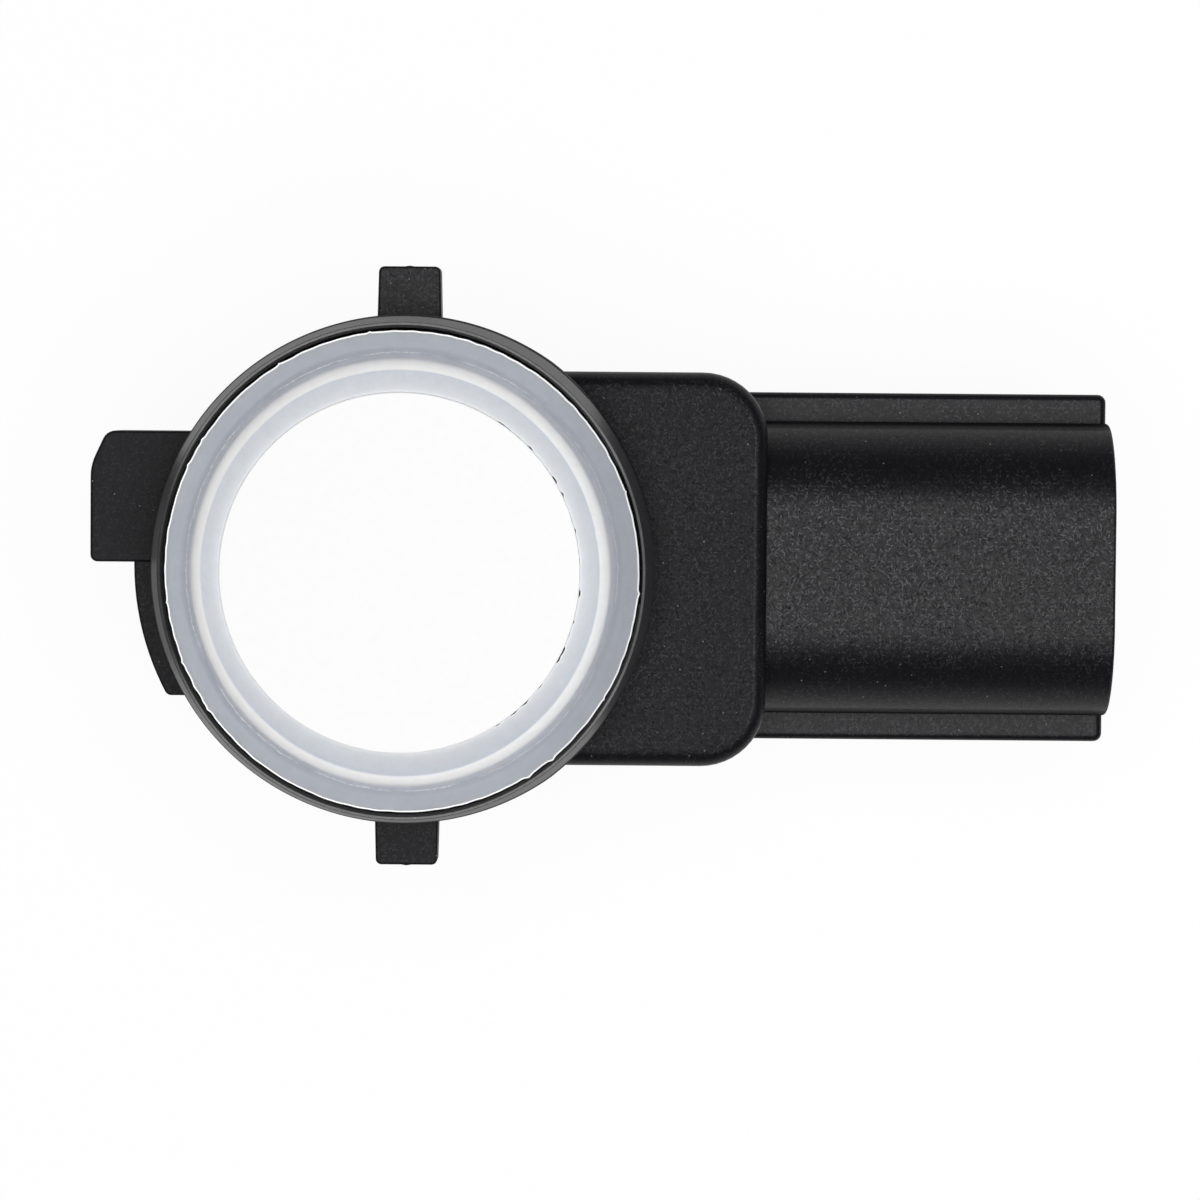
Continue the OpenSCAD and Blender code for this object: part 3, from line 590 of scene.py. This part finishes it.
def headShell(setup):
    # the section turned round Z, then each point moved outward: the oval rim, and the band's own fading
    section = np.array(setup["section"])
    place, facing, quad, ends = turned(softPath(section[:, :2], section[:, 2], steps=6), setup["count"])
    radius, angle = np.hypot(place[:, 0], place[:, 1]), np.arctan2(place[:, 1], place[:, 0])
    out, soon = setup["spread"]
    shift = ovalShift(angle) + out * np.clip(soon * (1 - np.cos(angle)), 0, 1)  # the box holds its side in
    inside, fromZ = setup["rimFrom"]
    outside, over = setup["rimFade"]
    shift *= np.clip((outside - radius) / over, 0, 1) * (radius > inside) * (place[:, 2] > fromZ)
    back, turn = setup["bandBack"]
    inward = setup["band"] * np.clip((back - np.abs(np.degrees(angle))) / turn, 0, 1)
    inward = inward + setup["leftIn"] * np.clip(-np.cos(angle), 0, 1)
    shift -= inward * (place[:, 2] > setup["bandFrom"]) * ramped(radius, setup["bandFade"])
    place[:, :2] *= (1 + shift / radius)[:, None]
    return place, facing, quad, ends


tube = headShell(headTube)

# box beside the head: its upper part stops inside the tube's wall, its lower part runs round under the head
box = {
    "halfWidth": 8.47, "aside": -0.03, "end": 15.42, "corner": 2.8, "edge": 0.72, "widen": (1.17, 0.88),
    "top": 15.1, "topIn": 1.0, "split": 9.2, "tubeMiddle": 9.9, "roundEnd": 10.18, "sideStep": 0.1,
    "wall": 1.2, "rebate": 0.6, "cover": 1.2, "ceiling": 8.0, "foot": 0.15,
    "cornerPoints": 13, "arcPoints": 97,
}


def boxOutline(setup, under, offset):
    # right end with two round corners, two straight sides, and an arc about the head: the far side of the
    # round end under the head, or the near side of the head tube above it
    half = setup["halfWidth"] + offset * setup["widen"][0]
    end, corner = setup["end"] + offset * setup["widen"][1], setup["corner"] + offset
    angle = np.radians(np.linspace(0, 90, setup["cornerPoints"]))
    ring = np.stack([np.cos(angle), np.sin(angle)], 1)
    upper = np.array([end - corner, half - corner]) + corner * ring
    radius = setup["roundEnd"] + offset if under else setup["tubeMiddle"]
    meet = math.asin(half / radius)
    start, stop = (math.pi - meet, math.pi + meet) if under else (meet, -meet)
    sweep = np.linspace(start, stop, setup["arcPoints"])
    arc = np.stack([np.cos(sweep), np.sin(sweep)], 1)
    side = np.array([[radius * arc[0, 0] + setup["sideStep"], half]])
    line = np.vstack([upper, side, radius * arc, side * [1, -1], upper[::-1] * [1, -1]])
    normal = np.vstack([ring, [[0, 1]], arc if under else -arc, [[0, -1]], ring[::-1] * [1, -1]])
    return line + [0, setup["aside"]], normal


upperBox = carried(lambda offset: boxOutline(box, False, offset), softPath(
    [(0, box["split"]), (0, box["top"]), (-box["topIn"], box["top"])],
    [0, box["edge"], 0], steps=14, closed=False))
lowerBox = carried(lambda offset: boxOutline(box, True, offset), softPath(
    [(-box["wall"], box["ceiling"]), (-box["wall"], box["cover"]), (-box["rebate"], box["cover"]),
     (-box["rebate"], 0), (0, 0), (0, box["split"])], box["foot"], steps=3, closed=False))

# connector: the shroud's section lies across X, and its profile runs out, over the mouth and down into the
# socket
shroud = {
    "sides": (-6.45, 6.36), "halfHeight": 5.1, "middle": 9.2, "flat": 2.32, "start": 14.6,
    "mouth": housingHigh[0] + 0.03, "lip": 0.9, "lipDepth": 0.8, "wall": 1.15, "floor": 18.42,
    "rounds": (0, 0.14, 0.1, 0.04, 0.04, 0),  # of the profile's corners
}
(near, far), h, mouth, step = shroud["sides"], shroud["halfHeight"], shroud["mouth"], shroud["lipDepth"]
corner = np.abs([near, near, far, far]) - shroud["flat"]
across = softPath([(near, h), (near, -h), (far, -h), (far, h)], corner, steps=24)
across = (across[0] + [0, shroud["middle"]], across[1])
barrel = carried(across, softPath(
    [(0, shroud["start"]), (0, mouth), (-shroud["lip"], mouth), (-shroud["lip"], mouth - step),
     (-shroud["wall"], mouth - step), (-shroud["wall"], shroud["floor"])],
    shroud["rounds"], steps=5, closed=False), axes=(1, 2, 0))

# guide rails along the shroud
rail = {"root": (6.0, -6.0), "reach": (7.62, -7.65), "start": 13.8, "end": 30.40, "low": 8.5, "high": 9.9,
        "corner": 0.36, "edge": 0.32}
rails = [plate([(rail["start"], root), (rail["end"], root), (rail["end"], reach), (rail["start"], reach)],
               rail["corner"], rail["low"], rail["high"], rail["edge"])
         for root, reach in zip(rail["root"], rail["reach"])]

# two narrow lugs, each with the nub that the parting line leaves in the middle of its end
lug = {"root": 10.0, "rootCorner": 0.05, "half": 1.325, "draft": 0.07, "tip": housingHigh[1],
       "corner": 0.25, "low": 12.8, "high": 14.3, "edge": 0.12}
nub = {"half": 0.2, "reach": 0.03, "root": 0.3, "low": 12.9, "high": 14.24, "edge": 0.02}
lugs = []
for way in (1, -1):
    root, tip, half, wide = way * lug["root"], way * lug["tip"], lug["half"], lug["half"] + lug["draft"]
    lugs.append(plate([(wide, root), (half, tip), (-half, tip), (-wide, root)],
                      [lug["rootCorner"], lug["corner"], lug["corner"], lug["rootCorner"]],
                      lug["low"], lug["high"], lug["edge"]))
    half, root, end = nub["half"], tip - way * nub["root"], tip + way * nub["reach"]
    lugs.append(plate([(half, root), (half, tip), (0, end), (-half, tip), (-half, root)],
                      nub["edge"], nub["low"], nub["high"], nub["edge"]))

# wide locating key with one bevelled corner, and the low arc flange beside it
keyX = housingLow[0]
key = {"corners": ((-10.1, 0.1, 0.05), (-8.3, 5.75, 0.05), (keyX + 0.7, 5.75, 0.6), (keyX, 4.25, 2.2),
                   (keyX, 0.1, 0.3)),  # X, Y and rounding
       "low": 11.7, "high": 14.3, "edge": 0.13}
keyLine = np.array(key["corners"])
keyPlate = plate(keyLine[:, :2], keyLine[:, 2], key["low"], key["high"], key["edge"])
flange = {"outer": (11.82, 25), "root": (10.05, 17),  # radius, and points on its arc
          "half": 5.65, "corner": 0.3, "rootCorner": 0.05, "arcRound": 3.0,
          "low": 12.78, "high": 14.18, "edge": 0.11}


def flangeArc(which, way):
    # an arc about the head, centred on -X, as far as the flange's half width
    radius, count = flange[which]
    spread = way * math.asin(flange["half"] / radius)
    angle = np.linspace(math.pi - spread, math.pi + spread, count)
    return radius * np.stack([np.cos(angle), np.sin(angle)], 1)


bow, back = flangeArc("outer", 1), flangeArc("root", -1)
bowRound, backRound = np.full(len(bow), flange["arcRound"]), np.full(len(back), flange["arcRound"])
bowRound[[0, -1]], backRound[[0, -1]] = flange["corner"], flange["rootCorner"]
flangePlate = plate(np.vstack([bow, back]), np.concatenate([bowRound, backRound]),
                    flange["low"], flange["high"], flange["edge"])

# latch nose under the shroud: a ramp drawn in Z and X, carried across Y
nose = {"corners": ((4.6, 22.62, 0.05), (2.9, 22.62, 0.15), (2.9, 23.82, 0.3), (4.1, 26.22, 0.1),
                    (4.6, 26.22, 0.05)),  # Z, X and rounding
        "half": 2.0, "edge": 0.1}
noseLine = np.array(nose["corners"])
noseRamp = plate(noseLine[:, :2], noseLine[:, 2], -nose["half"], nose["half"], nose["edge"],
                 steps=4, axes=(2, 0, 1))

# the whole moulding; the numbers beside each shell say how fine its face of the tool is, and how much
# grain shows
finishes = [(tube, 0.08, 0.8), (upperBox, 0.22, 0.8), (lowerBox, 0.22, 0.8), (barrel, 0.9, 1.0),
            *((shell, 1.0, 0.45) for shell in rails), *((shell, 0.8, 0.6) for shell in lugs[:2]),
            *((shell, 0.36, 0.5) for shell in lugs[2:]), (keyPlate, 0.28, 0.35), (flangePlate, 0.3, 0.5),
            (noseRamp, 0.4, 0.6)]
toolSetup = {
    "edgeFacing": (0.1, 0.985),  # how far up a face on a rounded edge looks
    "edgeFrom": 0.1,  # faces less fine than this keep their edges dull
    "edge": 0.9,  # on other rounded edges the tool is this fine
    "edgeGrain": 0.4,  # least grain on them
    "edgeGrainFade": (0.85, 0.135),  # how far up they look where grain returns, and over how much
    "creaseFacing": (-0.1, 0.38),  # how far up a face in the dark line between rail and shroud looks
    "creaseFade": (0.22, 0.12),  # how far up they look where the line ends, and over how much
    "crease": (0.15, 0.2),  # least share of its finish, and that finish
    "creaseMargin": 0.01,  # mm beyond the shroud's sides
}


def finishHousing(piece, setup):
    # polishes the head's taper, smooths rounded edges and dulls the creases beside the rails
    mesh = piece.data
    middle, tilt = np.empty(len(mesh.polygons) * 3), np.empty(len(mesh.polygons) * 3)
    finish = np.empty(len(mesh.polygons))
    mesh.polygons.foreach_get("center", middle)
    mesh.polygons.foreach_get("normal", tilt)
    mesh.attributes["finish"].data.foreach_get("value", finish)
    x, y, z = middle.reshape(-1, 3).T / mm
    up = tilt[2::3]
    polished = z > np.interp(x, *zip(*headTube["polishedFrom"]))
    polished &= np.hypot(x, y) > headTube["polishedOutside"]
    low, high = setup["edgeFacing"]
    rounded = (up > low) & (up < high) & (finish > setup["edgeFrom"])
    finish = np.where(rounded, setup["edge"], finish)
    fine = np.minimum(np.interp(z, *zip(*headTube["polish"])), np.interp(x, *zip(*headTube["dullSide"])))
    finish = np.where(polished, fine, finish)
    low, high = setup["creaseFacing"]
    deep = (up > low) & (up < high) & (x > box["end"]) & (z > rail["high"])
    deep &= (y > near - setup["creaseMargin"]) & (y < far + setup["creaseMargin"])
    least, full = setup["crease"]
    finish = np.where(deep, np.maximum(ramped(up, setup["creaseFade"]), least) * full, finish)
    plain = setup["edgeGrain"]
    coarse = np.where(rounded, plain + (1 - plain) * ramped(up, setup["edgeGrainFade"]), 1.0)
    coarse *= np.repeat(grains, [len(shell[2]) + len(shell[3]) for shell in shells])
    # faces of the polished taper take the lead-in plastic, whose paler skin is a painted sheen
    mesh.polygons.foreach_set("material_index", polished.astype(int))
    mesh.attributes["finish"].data.foreach_set("value", finish)
    mesh.attributes.new("coarse", "FLOAT", "FACE").data.foreach_set("value", coarse)


shells, marks, grains = zip(*finishes)
housing = buildPiece("mouldedHousing", shells, marks, housingPlastic, ["housing"])
housing.data.materials.append(leadInSheenPlastic)
finishHousing(housing, toolSetup)

# membrane pot: the painted front rounds into the side wall, which widens to the flange that the ring holds
pot = {"radius": 7.49, "count": 384, "edge": 0.07, "flange": 0.8, "flangeTop": potLow[2] + 1, "bore": 1.1,
       "membrane": 0.8, "corner": 0.1}
potProfile = [(-pot["bore"], potHigh[2] - pot["membrane"]), (-pot["bore"], potLow[2]),
              (pot["flange"], potLow[2]), (pot["flange"], pot["flangeTop"]), (0, pot["flangeTop"]),
              (0, potHigh[2]), (-pot["edge"] - flatMargin, potHigh[2])]
potRound = [0, *[pot["corner"]] * 4, pot["edge"], 0]
potPath = softPath(potProfile, potRound, steps=6, closed=False)
membrane = carried(circle(pot["radius"], pot["count"]), potPath)
buildPiece("paintedMembranePot", [membrane], [1.0], membranePaint, ["membrane_pot"])

# silicone ring: the CAD section turned round the head; its face slopes up to the pot, its outer edge
# is ragged with a few bits of flash, and here and there a thin slit opens beside the pot
collarDrop = 0.45  # mm that the collar lies below the ring's top
collarZ, lipR = ringHigh[2] - collarDrop, ringHigh[0]
ringPiece = {
    "section": ((7.49, collarZ + 0.48, 0.02), (8.36, collarZ, 0.1), (8.80, collarZ - 0.05, 0.42),
                (8.96, 19.4, 0.45), (lipR - 0.01, 19.4, 0.03), (lipR, 17.7, 0.05), (9.56, 17.7, 0.05),
                (9.56, 10.4, 0.1), (6.7, 10.4, 0.1), (6.7, 11.6, 0.05), (8.34, 11.6, 0.05),
                (8.34, 12.6, 0.05), (7.52, 12.6, 0.05)),  # radius, height and rounding
    "count": 720,
    "seed": 7,
    "waves": (14, 90, 14),  # fewest and most in a turn, and how many are summed
    "ragged": 0.02,  # mm
    "slit": 0.06,  # mm
    "slitWave": (0.2, 1 / 3),  # wave above which a slit opens, and over how much
    "slitSide": (0.3, 0.5),  # how far towards the box slits begin, and over how much
    "slitPart": (7.65, 20.0),  # largest radius and least height of what a slit moves
    "lipPart": 19.0,  # least height of what the ragged edge moves
    "lipFade": (9.9, 0.1),  # radius at which the ragged edge begins, and over how much
    "ovalPart": 17.6,  # least height of what is oval
    "ovalFade": (7.7, 0.7),  # radius at which the oval begins, and over how much
    "flash": ((-58, 0.9, 0.08), (-51, 0.7, 0.07), (-32, 0.4, 0.05), (121, 0.5, 0.05), (147, 0.6, 0.06),
              (154, 0.5, 0.05), (203, 0.6, 0.07), (216, 0.7, 0.06), (98, 0.4, 0.05), (20, 0.4, 0.05),
              (-5, 0.5, 0.06), (188, 0.4, 0.04)),  # degrees, half width in degrees, mm
}


def mouldedRing(setup):
    # the section turned round Z, then each point moved outward: summed waves and bell curves of flash at
    # the lip, slits beside the pot, and the oval
    section = np.array(setup["section"])
    place, facing, quad, ends = turned(softPath(section[:, :2], section[:, 2], steps=5), setup["count"])
    angle = np.arctan2(place[:, 1], place[:, 0])
    radius, height = np.hypot(place[:, 0], place[:, 1]), place[:, 2]
    rng = np.random.default_rng(setup["seed"])
    fewest, most, number = setup["waves"]
    order, phase = rng.integers(fewest, most, number), rng.uniform(0, 2 * np.pi, number)
    wave = 2 * np.sin(angle[:, None] * order + phase).mean(1)
    spot, half, reach = np.array(setup["flash"]).T
    away = (np.degrees(angle)[:, None] - spot + 180) % 360 - 180
    outer = setup["ragged"] * wave + (reach * np.exp(-(away / half) ** 2)).sum(1)
    inner = setup["slit"] * ramped(wave, setup["slitWave"]) * ramped(np.cos(angle), setup["slitSide"])
    inside, fromZ = setup["slitPart"]
    shift = outer * ramped(radius, setup["lipFade"]) * (height > setup["lipPart"])
    shift = shift + inner * (radius < inside) * (height > fromZ)
    shift = shift + ovalShift(angle) * ramped(radius, setup["ovalFade"]) * (height > setup["ovalPart"])
    place[:, :2] *= (1 + shift / radius)[:, None]
    return (place, facing, quad, ends), radius


ringShell, ringRadius = mouldedRing(ringPiece)
ring = buildPiece("siliconeRing", [ringShell], [1.0], silicone, ["decoupling_ring"])
ring.data.attributes.new("sectionRadius", "FLOAT", "POINT").data.foreach_set("value", ringRadius)

# surfaces of the pieces that keep their CAD shape: what each gives the eye, and the nodes that have it
cadSurfaces = {
    "pbtCoverMoulded": {  # dull black lid, a little paler than the housing
        "nodes": ["rear_cover"], "colours": ("#18181a", "#232325"), "grain": (0.3, 0.3, 0.3),
        "roughness": (0.5, 0.62), "relief": 0.01, "gloss": 0.2},
    "tinnedBrassStamped": {  # grey bright metal with drawing lines along X
        "nodes": ["terminal_supply", "terminal_signal", "terminal_ground", "contact_pin_hot",
                  "contact_pin_return"], "colours": ("#b9b4a4", "#d6d3c8"), "grain": (2.0, 0.06, 0.06),
        "roughness": (0.22, 0.4), "relief": 0.004, "metal": 1.0},
    "piezoCeramicSilvered": {  # chalky buff ceramic
        "nodes": ["piezo_disc"], "colours": ("#b7a878", "#cdbf92"), "grain": (0.2, 0.2, 0.2),
        "roughness": (0.5, 0.7), "relief": 0.005},
    "siliconeFoamCast": {  # soft grey foam with open cells
        "nodes": ["damping_plug"], "colours": ("#4b4f53", "#6a6e72"), "grain": (0.4, 0.4, 0.4),
        "roughness": (0.7, 0.9), "relief": 0.06, "gloss": 0.1},
    "carrierPlasticMoulded": {  # slate plastic with a satin face
        "nodes": ["contact_carrier"], "colours": ("#343a42", "#41474f"), "grain": (0.3, 0.3, 0.3),
        "roughness": (0.4, 0.5), "relief": 0.005},
    "copperWireEnamelled": {  # warm glossy copper under varnish, ringed by its turns
        "nodes": ["lead_hot", "lead_return", "transformer_winding"], "colours": ("#8c4a22", "#c47f45"),
        "grain": (1.5, 1.5, 0.12), "roughness": (0.22, 0.36), "relief": 0.02, "metal": 1.0},
    "laminateSolderResist": {  # green resist with a faint weave
        "nodes": ["circuit_board"], "colours": ("#17482d", "#205c3b"), "grain": (0.5, 0.5, 0.5),
        "roughness": (0.3, 0.42), "relief": 0.008, "gloss": 0.5},
    "chipEpoxyMoulded": {  # charcoal epoxy with a fine matt skin
        "nodes": ["control_chip", "protection_diode", "resistors"], "colours": ("#141517", "#202124"),
        "grain": (0.1, 0.1, 0.1), "roughness": (0.45, 0.6), "relief": 0.004},
    "ferriteSintered": {  # dark grey ceramic, slightly sparkling
        "nodes": ["transformer_core"], "colours": ("#2f2e30", "#464446"), "grain": (0.12, 0.12, 0.12),
        "roughness": (0.4, 0.65), "relief": 0.01},
    "capacitorEpoxyMoulded": {  # ochre moulded block
        "nodes": ["storage_capacitor"], "colours": ("#b98a2c", "#cfa246"), "grain": (0.3, 0.3, 0.3),
        "roughness": (0.4, 0.5), "relief": 0.004},
    "capacitorCeramicSintered": {  # biscuit brown ceramic
        "nodes": ["ceramic_capacitors"], "colours": ("#94784f", "#b3976d"), "grain": (0.15, 0.15, 0.15),
        "roughness": (0.35, 0.5), "relief": 0.003},
}
for name, setup in cadSurfaces.items():
    material = speckledSurface(name, setup)
    for node in setup["nodes"]:
        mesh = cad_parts[node].data
        mesh.materials.clear()
        mesh.materials.append(material)
print("CAD surfaces:", len(cadSurfaces))
